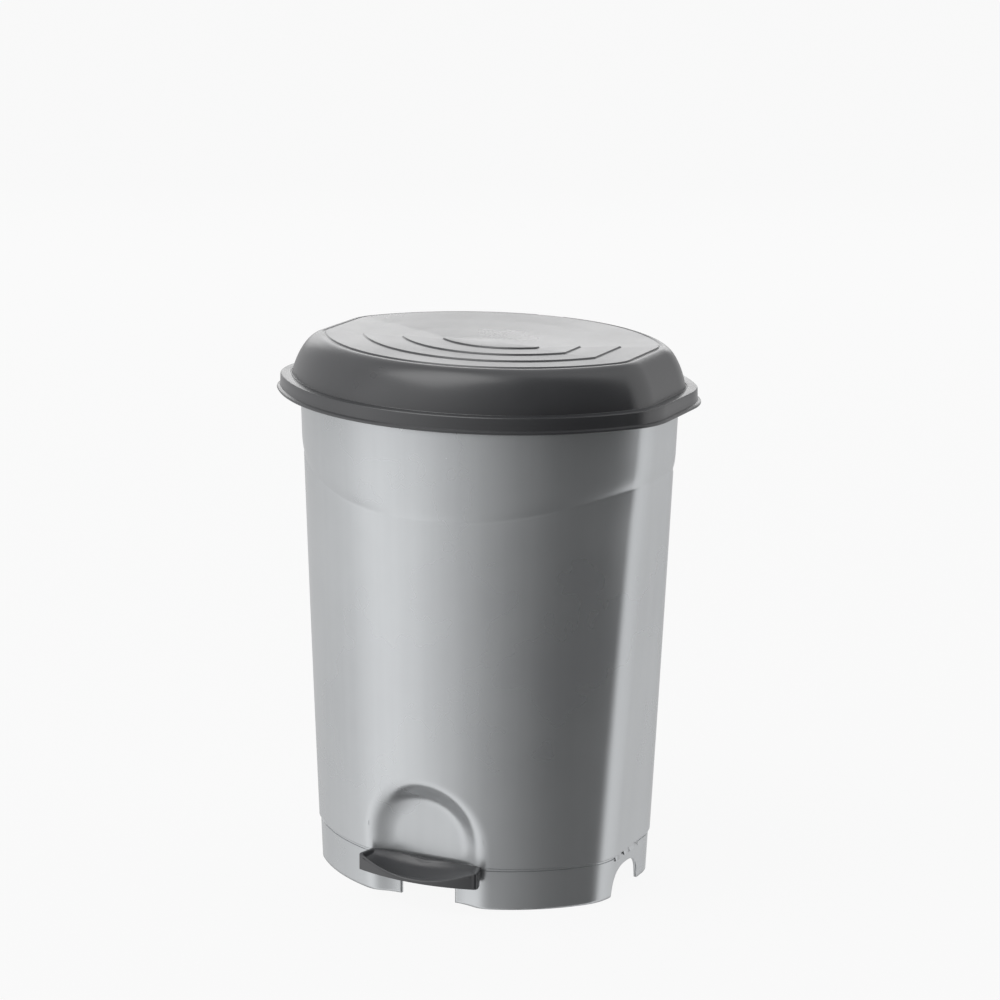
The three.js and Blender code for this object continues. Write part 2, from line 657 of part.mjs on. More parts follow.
// Bends a grid box: the first share runs across the tread, the second from back to front.
function treadSlab(depthSteps, place) {
  const geometry = new THREE.BoxGeometry(2, 1, 1, 16, depthSteps, 1);
  const { position } = geometry.attributes;
  for (let i = 0; i < position.count; i += 1) {
    const across = position.getX(i);
    const depth = 0.5 - position.getY(i);
    position.setXYZ(i, ...place(across, depth, position.getZ(i) > 0));
  }
  return solid(geometry);
}

function treadFront(x) {
  const sagitta = treadEndY - treadFrontY;
  const radius = (treadHalfWidth ** 2 + sagitta ** 2) / (2 * sagitta);
  return treadFrontY + radius - Math.sqrt(radius ** 2 - x ** 2);
}

function treadTop(across, depth) {
  const bowl = (1 - across ** 2) ** 1.2;
  return tread.topHeight - bowl * (tread.frontDip * depth ** 1.5 + tread.middleDip * Math.sin(Math.PI * depth));
}

function pedalTread() {
  const half = treadHalfWidth;
  const top = treadSlab(6, (across, depth, upper) => {
    const x = across * half;
    return [x, mix(treadBackY, treadFront(x), depth), treadTop(across, depth) - (upper ? 0 : tread.plate)];
  });
  const skirt = treadSlab(1, (across, depth, upper) => {
    const x = across * half;
    return [x, treadFront(x) + (1 - depth) * tread.plate, upper ? treadTop(across, 1) - 0.4 : tread.bottomHeight];
  });
  const endShape = shapeOf([[treadBackY, tread.topHeight - 0.7], [treadBackY - tread.backSlope, tread.bottomHeight],
    [treadEndY + 0.9, tread.bottomHeight], [treadEndY + 0.9, tread.topHeight - 0.7]]);
  const ends = [[-half, -half + tread.plate], [half - tread.plate, half]].map((x) => plateAcross(endShape, x));
  // two ribs under the plate straddle the lever and carry the hook that holds it
  const ribEdge = lever.halfWidth + gap;
  const ribShape = shapeOf([[treadBackY - 1, tread.topHeight - 4], [treadBackY - tread.backSlope, tread.bottomHeight + 1],
    [treadFrontY + 6, tread.bottomHeight + 1], [treadFrontY + 6, tread.bottomHeight + 4],
    [treadEndY + 3, tread.bottomHeight + 9]]);
  const ribs = [[-ribEdge - 2, -ribEdge], [ribEdge, ribEdge + 2]].map((x) => plateAcross(ribShape, x));
  return joined(top, skirt, ...ends, ...ribs);
}

// ---------------------------------------------------------------- assembly

const bin = new THREE.Group();
bin.add(
  mesh('body_shell', bodyShell(), 'silver'),
  mesh('inner_bucket', innerBucket(), 'bucketGrey'),
  mesh('lid', lid(), 'anthracite'),
  mesh('hinge_pin_left', hingePin(-1), 'steel'),
  mesh('hinge_pin_right', hingePin(1), 'steel'),
  mesh('push_rod', pushRod(), 'steel'),
  mesh('rod_clip_upper', rodClip(upperClipX, rodTopY, rodTopZ), 'natural'),
  mesh('rod_clip_lower', rodClip(lowerClipX, eyeY, eyeZ), 'natural'),
  mesh('rod_guide_lower', rodGuide(guide.lowHeight), 'natural'),
  mesh('rod_guide_upper', rodGuide(shell.rimHeight - guide.belowRim), 'natural'),
  mesh('pedal_tread', pedalTread(), 'anthracite'),
  mesh('pedal_lever', pedalLever(), 'steel'),
  mesh('lever_axle', leverAxle(), 'steel'),
);
for (const [side, name] of [[-1, 'left'], [1, 'right']]) {
  bin.add(mesh(`axle_saddle_${name}`, axleSaddle(side), 'natural'));
  bin.add(mesh(`axle_clip_${name}`, axleClip(side), 'steel'));
  for (const [end, where] of [[-1, 'front'], [1, 'rear']]) {
    bin.add(mesh(`saddle_screw_${name}_${where}`, saddleScrew(side, end), 'steel'));
  }
}

export default bin;
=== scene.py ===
import json
import math
import bmesh
import bpy
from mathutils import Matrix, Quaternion, Vector


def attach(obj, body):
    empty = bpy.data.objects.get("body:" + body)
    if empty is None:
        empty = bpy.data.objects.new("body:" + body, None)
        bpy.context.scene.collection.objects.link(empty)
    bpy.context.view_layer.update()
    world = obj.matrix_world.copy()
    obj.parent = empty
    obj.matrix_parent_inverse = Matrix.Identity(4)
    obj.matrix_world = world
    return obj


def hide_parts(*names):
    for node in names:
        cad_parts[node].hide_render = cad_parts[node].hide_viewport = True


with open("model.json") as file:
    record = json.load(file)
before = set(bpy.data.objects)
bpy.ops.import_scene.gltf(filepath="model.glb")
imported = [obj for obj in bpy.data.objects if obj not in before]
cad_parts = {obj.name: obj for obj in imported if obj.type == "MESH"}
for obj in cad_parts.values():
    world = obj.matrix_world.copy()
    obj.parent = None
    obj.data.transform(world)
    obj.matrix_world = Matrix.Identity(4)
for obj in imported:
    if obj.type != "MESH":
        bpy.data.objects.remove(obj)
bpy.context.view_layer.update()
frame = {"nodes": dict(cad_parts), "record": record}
nodes = frame["nodes"]
scene = bpy.context.scene
print("frame loaded")

mm = 0.001


# ---- plan curves shared by the shell, the bucket and the lid ----

plan = {
    "frontPatch": 62 * mm,     # half width of the stretch whose columns run straight up
    "patchSteps": 36,
    "arcSteps": 18,
    "cornerSteps": 16,
    "sideSteps": 12,
    "centre": 46 * mm,         # the front and back curves are struck from this far past the middle
}


def mix(a, b, share):
    return a + (b - a) * share


def smooth(share):
    share = min(max(share, 0.0), 1.0)
    return share * share * (3 - 2 * share)


def planColumns(size=plan):
    # one quarter, front middle to side middle, as (stretch, share)
    quarter = [("patch", i / size["patchSteps"]) for i in range(size["patchSteps"])]
    quarter += [("arc", i / size["arcSteps"]) for i in range(size["arcSteps"])]
    quarter += [("corner", i / size["cornerSteps"]) for i in range(size["cornerSteps"])]
    quarter += [("side", i / size["sideSteps"]) for i in range(size["sideSteps"])]
    last = ("side", 1.0)
    right = [(1, 1, c) for c in quarter] + [(1, 1, last)] + [(1, -1, c) for c in reversed(quarter)]
    left = [(-1, turn, c) for _, turn, c in reversed(right[1:-1])]
    return right + left


def ovalPoint(oval, column):
    halfWidth, halfDepth, corner, centre = oval
    side, turn, (stretch, share) = column
    radius = halfDepth + centre
    corner = min(corner, halfWidth * 0.9)
    reach = math.sqrt((radius - corner) ** 2 - (halfWidth - corner) ** 2)
    tangent = math.atan2(halfWidth - corner, reach)
    patch = min(plan["frontPatch"], radius * math.sin(tangent) * 0.8)
    if stretch == "patch":
        x = patch * share
        y = math.sqrt(radius * radius - x * x) - centre
    elif stretch == "arc":
        angle = mix(math.asin(patch / radius), tangent, share)
        x, y = radius * math.sin(angle), radius * math.cos(angle) - centre
    elif stretch == "corner":
        angle = mix(tangent, math.pi / 2, share)
        x = halfWidth - corner + corner * math.sin(angle)
        y = reach - centre + corner * math.cos(angle)
    else:
        x, y = halfWidth, mix(reach - centre, 0, share)
    return x * side, -y * turn


def ringStack(name, columns, rows, place, closed=False):
    # a circle of edges, extruded ring by ring and set on its curve at each height
    bm = bmesh.new()
    ring = bmesh.ops.create_circle(bm, segments=len(columns), radius=1)["verts"]
    edges = list(bm.edges)
    rings = []
    for i, row in enumerate(rows):
        if i:
            grown = bmesh.ops.extrude_edge_only(bm, edges=edges)["geom"]
            fresh = {g for g in grown if isinstance(g, bmesh.types.BMVert)}
            edges = [g for g in grown if isinstance(g, bmesh.types.BMEdge) and set(g.verts) <= fresh]
            ring = [next(e.other_vert(v) for e in v.link_edges if e.other_vert(v) in fresh) for v in ring]
        for v, column in zip(ring, columns):
            v.co = place(row, column)
        rings.append(ring)
    if closed:
        loops = list({e for r in (rings[0], rings[-1]) for v in r for e in v.link_edges if e.is_boundary})
        bmesh.ops.bridge_loops(bm, edges=loops)
    return bm, rings


def closePole(bm, ring, at):
    rim = list({e for v in ring for e in v.link_edges if e.is_boundary})
    grown = bmesh.ops.extrude_edge_only(bm, edges=rim)
    fresh = [g for g in grown["geom"] if isinstance(g, bmesh.types.BMVert)]
    bmesh.ops.pointmerge(bm, verts=fresh, merge_co=at)


def finishPiece(name, bm, body, material, sharpAngle=32, thickness=0, replaced=()):
    bmesh.ops.remove_doubles(bm, verts=bm.verts, dist=1e-6)
    bmesh.ops.recalc_face_normals(bm, faces=bm.faces)
    mesh = bpy.data.meshes.new(name)
    bm.to_mesh(mesh)
    bm.free()
    for face in mesh.polygons:
        face.use_smooth = True
    mesh.set_sharp_from_angle(angle=math.radians(sharpAngle))
    piece = bpy.data.objects.new(name, mesh)
    scene.collection.objects.link(piece)
    piece.data.materials.append(material)
    if thickness:
        wall = piece.modifiers.new("wall", "SOLIDIFY")
        wall.thickness = thickness
        wall.offset = -1
        wall.use_even_offset = False
    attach(piece, body)
    if replaced:
        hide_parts(*replaced)
    return piece


def keptPart(name, node, boxes):
    # the faces of a CAD node whose middles lie in one of the boxes, as a mesh of its own
    bm = bmesh.new()
    bm.from_mesh(nodes[node].data)
    bmesh.ops.remove_doubles(bm, verts=bm.verts, dist=1e-6)
    spare = []
    for face in bm.faces:
        middle = face.calc_center_median()
        if not any(all(low[i] <= middle[i] <= high[i] for i in range(3)) for low, high in boxes):
            spare.append(face)
    bmesh.ops.delete(bm, geom=spare, context="FACES")
    return bm


def boxMm(x, y, z):
    return tuple(Vector([s[i] * mm for s in (x, y, z)]) for i in range(2))


# ---- materials ----

def link(tree, a, b):
    tree.links.new(a, b)


def addNode(tree, kind, **values):
    made = tree.nodes.new(kind)
    for key, value in values.items():
        if key in made.inputs:
            made.inputs[key].default_value = value
        else:
            setattr(made, key, value)
    return made


def makeGroup(name, inputs, outputs):
    group = bpy.data.node_groups.new(name, "ShaderNodeTree")
    for label, kind, value in inputs:
        socket = group.interface.new_socket(label, in_out="INPUT", socket_type=kind)
        if value is not None:
            socket.default_value = value
    for label, kind in outputs:
        group.interface.new_socket(label, in_out="OUTPUT", socket_type=kind)
    return group, group.nodes.new("NodeGroupInput"), group.nodes.new("NodeGroupOutput")


def mouldGrainGroup():
    # fine pitted texture of a moulded plastic face, and broad uneven gloss
    group, start, end = makeGroup(
        "mouldGrain",
        [
            ("Vector", "NodeSocketVector", None),
            ("Grain", "NodeSocketFloat", 900.0),
            ("Cloud", "NodeSocketFloat", 9.0),
        ],
        [("Height", "NodeSocketFloat"), ("Cloud", "NodeSocketFloat")],
    )
    fine = addNode(group, "ShaderNodeTexNoise", Detail=2.0, Roughness=0.55)
    pits = addNode(group, "ShaderNodeTexVoronoi")
    cloud = addNode(group, "ShaderNodeTexNoise", Detail=4.0, Roughness=0.6)
    link(group, start.outputs["Vector"], fine.inputs["Vector"])
    link(group, start.outputs["Grain"], fine.inputs["Scale"])
    link(group, start.outputs["Vector"], pits.inputs["Vector"])
    link(group, start.outputs["Grain"], pits.inputs["Scale"])
    link(group, start.outputs["Vector"], cloud.inputs["Vector"])
    link(group, start.outputs["Cloud"], cloud.inputs["Scale"])
    both = addNode(group, "ShaderNodeMath", operation="ADD")
    link(group, fine.outputs["Fac"], both.inputs[0])
    link(group, pits.outputs["Distance"], both.inputs[1])
    link(group, both.outputs[0], end.inputs["Height"])
    link(group, cloud.outputs["Fac"], end.inputs["Cloud"])
    return group


def flowStreakGroup():
    # faint streaks of pigment that ran up the mould, seen in pearl plastics
    group, start, end = makeGroup(
        "flowStreak",
        [
            ("Vector", "NodeSocketVector", None),
            ("Across", "NodeSocketFloat", 70.0),
            ("Along", "NodeSocketFloat", 1.2),
        ],
        [("Streak", "NodeSocketFloat")],
    )
    axes = addNode(group, "ShaderNodeSeparateXYZ")
    stretched = addNode(group, "ShaderNodeCombineXYZ")
    link(group, start.outputs["Vector"], axes.inputs[0])
    for axis, scale in (("X", "Across"), ("Y", "Across"), ("Z", "Along")):
        times = addNode(group, "ShaderNodeMath", operation="MULTIPLY")
        link(group, axes.outputs[axis], times.inputs[0])
        link(group, start.outputs[scale], times.inputs[1])
        link(group, times.outputs[0], stretched.inputs[axis])
    streak = addNode(group, "ShaderNodeTexNoise", Scale=1.0, Detail=3.0, Roughness=0.5)
    link(group, stretched.outputs[0], streak.inputs["Vector"])
    link(group, streak.outputs["Fac"], end.inputs["Streak"])
    return group


def edgeWearGroup():
    # rubbed edges: where the surface is sharply convex, broken up by noise
    group, start, end = makeGroup(
        "edgeWear",
        [
            ("Vector", "NodeSocketVector", None),
            ("From", "NodeSocketFloat", 0.54),
            ("To", "NodeSocketFloat", 0.62),
        ],
        [("Mask", "NodeSocketFloat")],
    )
    shape = addNode(group, "ShaderNodeNewGeometry")
    span = addNode(group, "ShaderNodeMapRange")
    breakUp = addNode(group, "ShaderNodeTexNoise", Scale=60.0, Detail=4.0)
    times = addNode(group, "ShaderNodeMath", operation="MULTIPLY")
    link(group, shape.outputs["Pointiness"], span.inputs["Value"])
    link(group, start.outputs["From"], span.inputs["From Min"])
    link(group, start.outputs["To"], span.inputs["From Max"])
    link(group, start.outputs["Vector"], breakUp.inputs["Vector"])
    link(group, span.outputs[0], times.inputs[0])
    link(group, breakUp.outputs["Fac"], times.inputs[1])
    link(group, times.outputs[0], end.inputs["Mask"])
    return group


grainGroup = mouldGrainGroup()
streakGroup = flowStreakGroup()
wearGroup = edgeWearGroup()


def groupNode(tree, group, vector, **values):
    made = tree.nodes.new("ShaderNodeGroup")
    made.node_tree = group
    link(tree, vector, made.inputs["Vector"])
    for key, value in values.items():
        made.inputs[key].default_value = value
    return made


def ranged(tree, value, low, high, fromLow=0.3, fromHigh=0.7):
    made = addNode(tree, "ShaderNodeMapRange")
    made.inputs["From Min"].default_value = fromLow
    made.inputs["From Max"].default_value = fromHigh
    made.inputs["To Min"].default_value = low
    made.inputs["To Max"].default_value = high
    link(tree, value, made.inputs["Value"])
    return made.outputs[0]


def mixed(tree, factor, first, second):
    made = addNode(tree, "ShaderNodeMix", data_type="RGBA")
    link(tree, factor, made.inputs["Factor"])
    for socket, colour in (("A", first), ("B", second)):
        target = [s for s in made.inputs if s.name == socket and s.type == "RGBA"][0]
        if isinstance(colour, bpy.types.NodeSocket):
            link(tree, colour, target)
        else:
            target.default_value = (*colour, 1)
    return [s for s in made.outputs if s.type == "RGBA"][0]


def plastic(name, size):
    # moulded plastic: clouded colour, worn edges, uneven gloss and a fine grain
    material = bpy.data.materials.new(name)
    material.use_nodes = True
    tree = material.node_tree
    shader = tree.nodes["Principled BSDF"]
    place = tree.nodes.new("ShaderNodeTexCoord")
    mapping = addNode(tree, "ShaderNodeMapping")
    link(tree, place.outputs["Object"], mapping.inputs["Vector"])
    vector = mapping.outputs["Vector"]
    grain = groupNode(tree, grainGroup, vector, Grain=size["grain"], Cloud=size["cloud"])
    wear = groupNode(tree, wearGroup, vector)
    colour = mixed(tree, ranged(tree, grain.outputs["Cloud"], 0, 1), size["dark"], size["light"])
    if size.get("streak"):
        streak = groupNode(tree, streakGroup, vector, Across=size["streak"])
        amount = ranged(tree, streak.outputs["Streak"], 0, size["streakShare"])
        colour = mixed(tree, amount, colour, size["streakTint"])
    colour = mixed(tree, ranged(tree, wear.outputs["Mask"], 0, size["wear"], 0, 1), colour, size["worn"])
    link(tree, colour, shader.inputs["Base Color"])
    roughness, uneven = size["roughness"], size["uneven"]
    gloss = ranged(tree, grain.outputs["Cloud"], roughness - uneven, roughness + uneven)
    link(tree, gloss, shader.inputs["Roughness"])
    bump = addNode(tree, "ShaderNodeBump")
    bump.inputs["Strength"].default_value = size["bump"]
    bump.inputs["Distance"].default_value = 0.0002
    link(tree, grain.outputs["Height"], bump.inputs["Height"])
    link(tree, bump.outputs["Normal"], shader.inputs["Normal"])
    shader.inputs["Metallic"].default_value = size.get("metallic", 0)
    shader.inputs["Coat Weight"].default_value = size.get("coat", 0)
    shader.inputs["Coat Roughness"].default_value = size.get("coatRoughness", 0.2)
    shader.inputs["Specular IOR Level"].default_value = size.get("specular", 0.5)
    return material


silver = {
    "dark": (0.46, 0.475, 0.485), "light": (0.51, 0.525, 0.535), "worn": (0.58, 0.59, 0.6), "wear": 0.25,
    "streak": 90.0, "streakShare": 0.25, "streakTint": (0.56, 0.575, 0.585),
    "grain": 1400.0, "cloud": 7.0, "roughness": 0.28, "uneven": 0.025, "bump": 0.1,
    "metallic": 0.68, "coat": 0.12, "coatRoughness": 0.15,
}
anthracite = {
    "dark": (0.036, 0.037, 0.040), "light": (0.046, 0.047, 0.050), "worn": (0.13, 0.13, 0.135), "wear": 0.3,
    "grain": 1100.0, "cloud": 12.0, "roughness": 0.3, "uneven": 0.04, "bump": 0.14,
    "coat": 0.2, "coatRoughness": 0.2, "specular": 0.55,
}
bucketGrey = {
    "dark": (0.075, 0.077, 0.080), "light": (0.098, 0.1, 0.104), "worn": (0.2, 0.2, 0.21), "wear": 0.4,
    "grain": 700.0, "cloud": 10.0, "roughness": 0.52, "uneven": 0.06, "bump": 0.3,
}
naturalWhite = {
    "dark": (0.56, 0.55, 0.5), "light": (0.66, 0.65, 0.6), "worn": (0.75, 0.74, 0.7), "wear": 0.2,
    "grain": 900.0, "cloud": 30.0, "roughness": 0.46, "uneven": 0.05, "bump": 0.15,
}
zincPlate = {
    "dark": (0.42, 0.43, 0.44), "light": (0.6, 0.61, 0.62), "worn": (0.75, 0.75, 0.74), "wear": 0.5,
    "streak": 260.0, "streakShare": 0.4, "streakTint": (0.66, 0.665, 0.65),
    "grain": 1500.0, "cloud": 45.0, "roughness": 0.36, "uneven": 0.08, "bump": 0.1, "metallic": 1.0,
}
silverPlastic = plastic("silverPlastic", silver)
anthracitePlastic = plastic("anthracitePlastic", anthracite)
bucketPlastic = plastic("bucketPlastic", bucketGrey)
naturalPlastic = plastic("naturalPlastic", naturalWhite)
galvanisedSteel = plastic("galvanisedSteel", zincPlate)
slotLooks = {
    "silver_plastic": silverPlastic, "anthracite_plastic": anthracitePlastic, "bucket_plastic": bucketPlastic,
    "natural_plastic": naturalPlastic, "galvanised_steel": galvanisedSteel,
}
for part in frame["record"]["subparts"]:
    node = nodes[part["node"]]
    node.data.materials.clear()
    node.data.materials.append(slotLooks[part["material_slot"]])
print("materials made")


# ---- outer shell ----

shell = {
    "rimHeight": 403 * mm,
    "baseHalfWidth": 131.8 * mm, "topHalfWidth": 155 * mm,
    "baseHalfDepth": 113.5 * mm, "topHalfDepth": 125 * mm,
    "corner": 45 * mm,
    "wall": 2.5 * mm,
    "seamHeight": 33.5 * mm, "plinthInset": 1.3 * mm,
    "bandHeight": 345 * mm, "bandDip": 27 * mm, "bandRise": 1.0 * mm, "bandGroove": 0.4 * mm,
    "collarReach": 5 * mm, "collarThickness": 2.5 * mm,
}
toeRecess = {
    "wallY": -101 * mm, "halfWidth": 50 * mm, "archCentre": 49 * mm,
    "cove": 22 * mm, "power": 2.0, "lipRadius": 7 * mm,
    "fineHeight": 116 * mm, "fineStep": 2.2 * mm, "slotHalfWidth": 23.5 * mm, "slotHeight": 33 * mm,
}
sideArch = {"halfWidth": 25 * mm, "height": 23 * mm, "y": -7 * mm, "power": 2.6}


def shellOval(z, inset):
    share = z / shell["rimHeight"]
    return (
        mix(shell["baseHalfWidth"], shell["topHalfWidth"], share) - inset,
        mix(shell["baseHalfDepth"], shell["topHalfDepth"], share) - inset,
        shell["corner"] - inset,
        plan["centre"],
    )


def recessShare(x, z):
    # 0 outside the toe recess, 1 on its flat wall, with a coved edge between
    inside = toeRecess["halfWidth"] - math.hypot(x, max(z - toeRecess["archCentre"], 0))
    lip = toeRecess["lipRadius"]
    rolled = inside if inside > lip else max(inside + lip, 0) ** 2 / (4 * lip)
    return 1 - (1 - min(rolled / toeRecess["cove"], 1)) ** toeRecess["power"]


def archLift(y):
    across = abs(y - sideArch["y"]) / sideArch["halfWidth"]
    if across >= 1:
        return 0
    return sideArch["height"] * (1 - across ** sideArch["power"]) ** (1 / sideArch["power"])


def shellPoint(row, column):
    z, inset, dip = row
    seam = shell["seamHeight"]
    x, y = ovalPoint(shellOval(z, inset), column)
    if z < seam - 1.2 * mm and column[2][0] in ("corner", "side"):
        z = mix(archLift(y), seam, z / seam)
    z -= dip * (1 - (x / shell["topHalfWidth"]) ** 2)
    x, y = ovalPoint(shellOval(z, inset), column)
    if y < 0 and abs(x) < plan["frontPatch"] * 1.5 and z < toeRecess["fineHeight"] + 30 * mm:
        y = mix(y, toeRecess["wallY"], recessShare(x, z))
    return x, y, z


def shellRows():
    seam, inset = shell["seamHeight"], shell["plinthInset"]
    lowSteps = 15
    rows = [((seam - 1.5 * mm) * i / lowSteps, inset, 0) for i in range(lowSteps + 1)]
    # the seam's double line, as heights from the seam and shares of the inset
    profile = [
        (-1.1, 1.0), (-0.7, 1.5), (-0.2, 1.5), (0.1, 0.9),
        (1.1, 0.8), (1.4, 1.0), (1.7, 0.5), (2.2, 0.0),
    ]
    rows += [(seam + up * mm, inset * share, 0) for up, share in profile]
    z = seam + 3 * mm
    while z < toeRecess["fineHeight"]:
        rows.append((z, 0, 0))
        z += toeRecess["fineStep"]
    band, dip = shell["bandHeight"], shell["bandDip"]
    fineTop = rows[-1][0]
    plainSteps = 10
    for i in range(1, plainSteps + 1):
        share = i / plainSteps
        rows.append((mix(fineTop, band - 2 * mm, share), 0, dip * smooth(share)))
    rise, groove = shell["bandRise"], shell["bandGroove"]
    # the groove, and the raised band above it, as heights from the groove and insets
    steps = [
        (-1.4, groove * 0.3), (-0.5, groove * 0.8), (0.2, groove), (1.0, groove * 0.8),
        (2.2, groove * 0.2), (4.5, -rise * 0.4), (8, -rise * 0.8), (12, -rise),
    ]
    rows += [(band + up * mm, out, dip) for up, out in steps]
    top = shell["rimHeight"] - shell["collarThickness"]
    plainSteps = 5
    for i in range(1, plainSteps + 1):
        share = i / plainSteps
        rows.append((mix(band + 12 * mm, top, share), -rise, dip * (1 - share)))
    return rows


def makeShell():
    columns = planColumns()
    bm, _ = ringStack("bodyShell", columns, shellRows(), shellPoint)
    slot = [
        face for face in bm.faces
        if face.calc_center_median().y < 0
        and abs(face.calc_center_median().x) < toeRecess["slotHalfWidth"]
        and face.calc_center_median().z < toeRecess["slotHeight"]
    ]
    bmesh.ops.delete(bm, geom=slot, context="FACES")
    return finishPiece(
        "bodyShell", bm, "base", silverPlastic, 40, shell["wall"], ["body_shell"]
    )


def makeCollar():
    # the turned-out rim, one closed ring
    rim, reach, thick = shell["rimHeight"], shell["collarReach"], shell["collarThickness"]
    soft = 0.5 * mm
    rows = [
        (rim - thick, shell["wall"]), (rim - thick, -reach + soft), (rim - thick + soft, -reach),
        (rim - soft, -reach), (rim, -reach + soft), (rim, shell["wall"] - soft), (rim - soft, shell["wall"]),
    ]

    def collarPoint(row, column):
        return (*ovalPoint(shellOval(rim, row[1]), column), row[0])

    bm, _ = ringStack("shellCollar", planColumns(), rows, collarPoint, True)
    return finishPiece("shellCollar", bm, "base", silverPlastic)


def makeShellFittings():
    # shell floor, axle blocks and hinge lugs
    bm = keptPart("shellFittings", "body_shell", [
        boxMm((-140, 140), (-118, 118), (55.8, 58.6)),
        boxMm((-31, 31), (-66, -38), (26.5, 56)),
        boxMm((-44, 44), (124.6, 143), (370, 400.2)),
    ])
    return finishPiece("shellFittings", bm, "base", silverPlastic)


makeShell()
makeCollar()
makeShellFittings()
print("outer shell made")


# ---- inner bucket ----

bucket = {
    "floor": 59.1 * mm, "top": 403.3 * mm, "wall": 2 * mm, "rimThickness": 2 * mm, "rimFall": 0.3 * mm,
    "bottomHalfWidth": 122.046 * mm, "topHalfWidth": 147.5 * mm,
    "bottomFront": -95 * mm, "topFront": -117.5 * mm, "bottomBack": 86 * mm, "topBack": 92 * mm,
    "corner": 40 * mm,
    "rimHalfWidth": 158 * mm, "rimFront": -128 * mm, "rimBack": 95 * mm, "rimCentre": 70 * mm,
}


def bucketPoint(row, column):
    z, inset, rim = row
    if rim:
        front, back = bucket["rimFront"], bucket["rimBack"]
        halfWidth, corner, centre = bucket["rimHalfWidth"], shell["corner"], bucket["rimCentre"]
    else:
        share = (z - bucket["floor"]) / (bucket["top"] - bucket["floor"])
        front = mix(bucket["bottomFront"], bucket["topFront"], share)
        back = mix(bucket["bottomBack"], bucket["topBack"], share)
        halfWidth = mix(bucket["bottomHalfWidth"], bucket["topHalfWidth"], share)
        corner, centre = bucket["corner"], plan["centre"]
    halfDepth = (back - front) / 2
    x, y = ovalPoint((halfWidth - inset, halfDepth - inset, corner - inset, centre), column)
    return x, y + (front + back) / 2, z


def makeBucket():
    floor, top, wall = bucket["floor"], bucket["top"], bucket["wall"]
    rimTop = top + bucket["rimThickness"]
    soft = 0.6 * mm
    # outer face up to the rim, the rim, then the inner face down to the floor
    rows = [
        (floor, 6 * mm, 0), (floor + 0.6 * mm, 3 * mm, 0),
        (floor + 2 * mm, 1.2 * mm, 0), (floor + 6 * mm, 0, 0),
    ]
    rows += [(mix(floor + 6 * mm, top, i / 8), 0, 0) for i in range(1, 9)]
    rows += [(top, soft, 1), (top + soft, 0, 1), (rimTop - bucket["rimFall"] - soft, 0, 1),
             (rimTop - bucket["rimFall"], soft, 1), (rimTop, wall - soft, 0), (rimTop - soft, wall, 0)]
    rows += [(mix(rimTop - 1.5 * mm, floor + 8 * mm, i / 8), wall, 0) for i in range(9)]
    rows += [
        (floor + 4.5 * mm, wall + 1.4 * mm, 0),
        (floor + 2.7 * mm, wall + 4 * mm, 0),
        (floor + wall, wall + 8 * mm, 0),
    ]
    bm, rings = ringStack("innerBucket", planColumns(), rows, bucketPoint)
    middleY = (bucket["bottomFront"] + bucket["bottomBack"]) / 2
    closePole(bm, rings[0], (0, middleY, floor))
    closePole(bm, rings[-1], (0, middleY, floor + wall))
    return finishPiece("innerBucket", bm, "base", bucketPlastic, replaced=["inner_bucket"])


makeBucket()
print("inner bucket made")


# ---- lid ----

lidSize = {
    "halfWidth": 169 * mm, "halfDepth": 145 * mm,
    "corner": 62 * mm, "cornerFall": 0.9, "leastCorner": 3 * mm,
    "lip": 395.5 * mm, "ledge": 408.3 * mm, "channel": 438.6 * mm, "crest": 439.3 * mm,
    "foot": 12.3, "dome": 31.0, "crestInset": 32.8, "lean": 0.32, "wall": 2.0 * mm,
    "panelInset": 35.6, "panelShift": 6 * mm, "stepSpacing": 30.33, "steps": 3,
    "stepRise": 1.2, "stepFall": 1.0, "stepRun": 1.1,
    "notchHalfWidth": 10.5 * mm, "notchFrom": 30.5 * mm, "notchTo": 35.2 * mm,
    "windowInner": 17 * mm, "windowOuter": 43 * mm, "windowTop": 403 * mm,
}


def lidPoint(row, column):
    inset, z = row
    share = min(max((inset - lidSize["foot"]) / (lidSize["panelInset"] - lidSize["foot"]), 0), 1)
    inset *= mm
    corner = max(lidSize["corner"] - inset * lidSize["cornerFall"], lidSize["leastCorner"])
    oval = (lidSize["halfWidth"] - inset, lidSize["halfDepth"] - inset, corner, plan["centre"])
    x, y = ovalPoint(oval, column)
    inNotch = lidSize["notchFrom"] < inset < lidSize["notchTo"]
    if y > 0 and abs(x) < lidSize["notchHalfWidth"] and inNotch:
        z = min(z, lidSize["channel"])
    return x, y + lidSize["panelShift"] * share, z


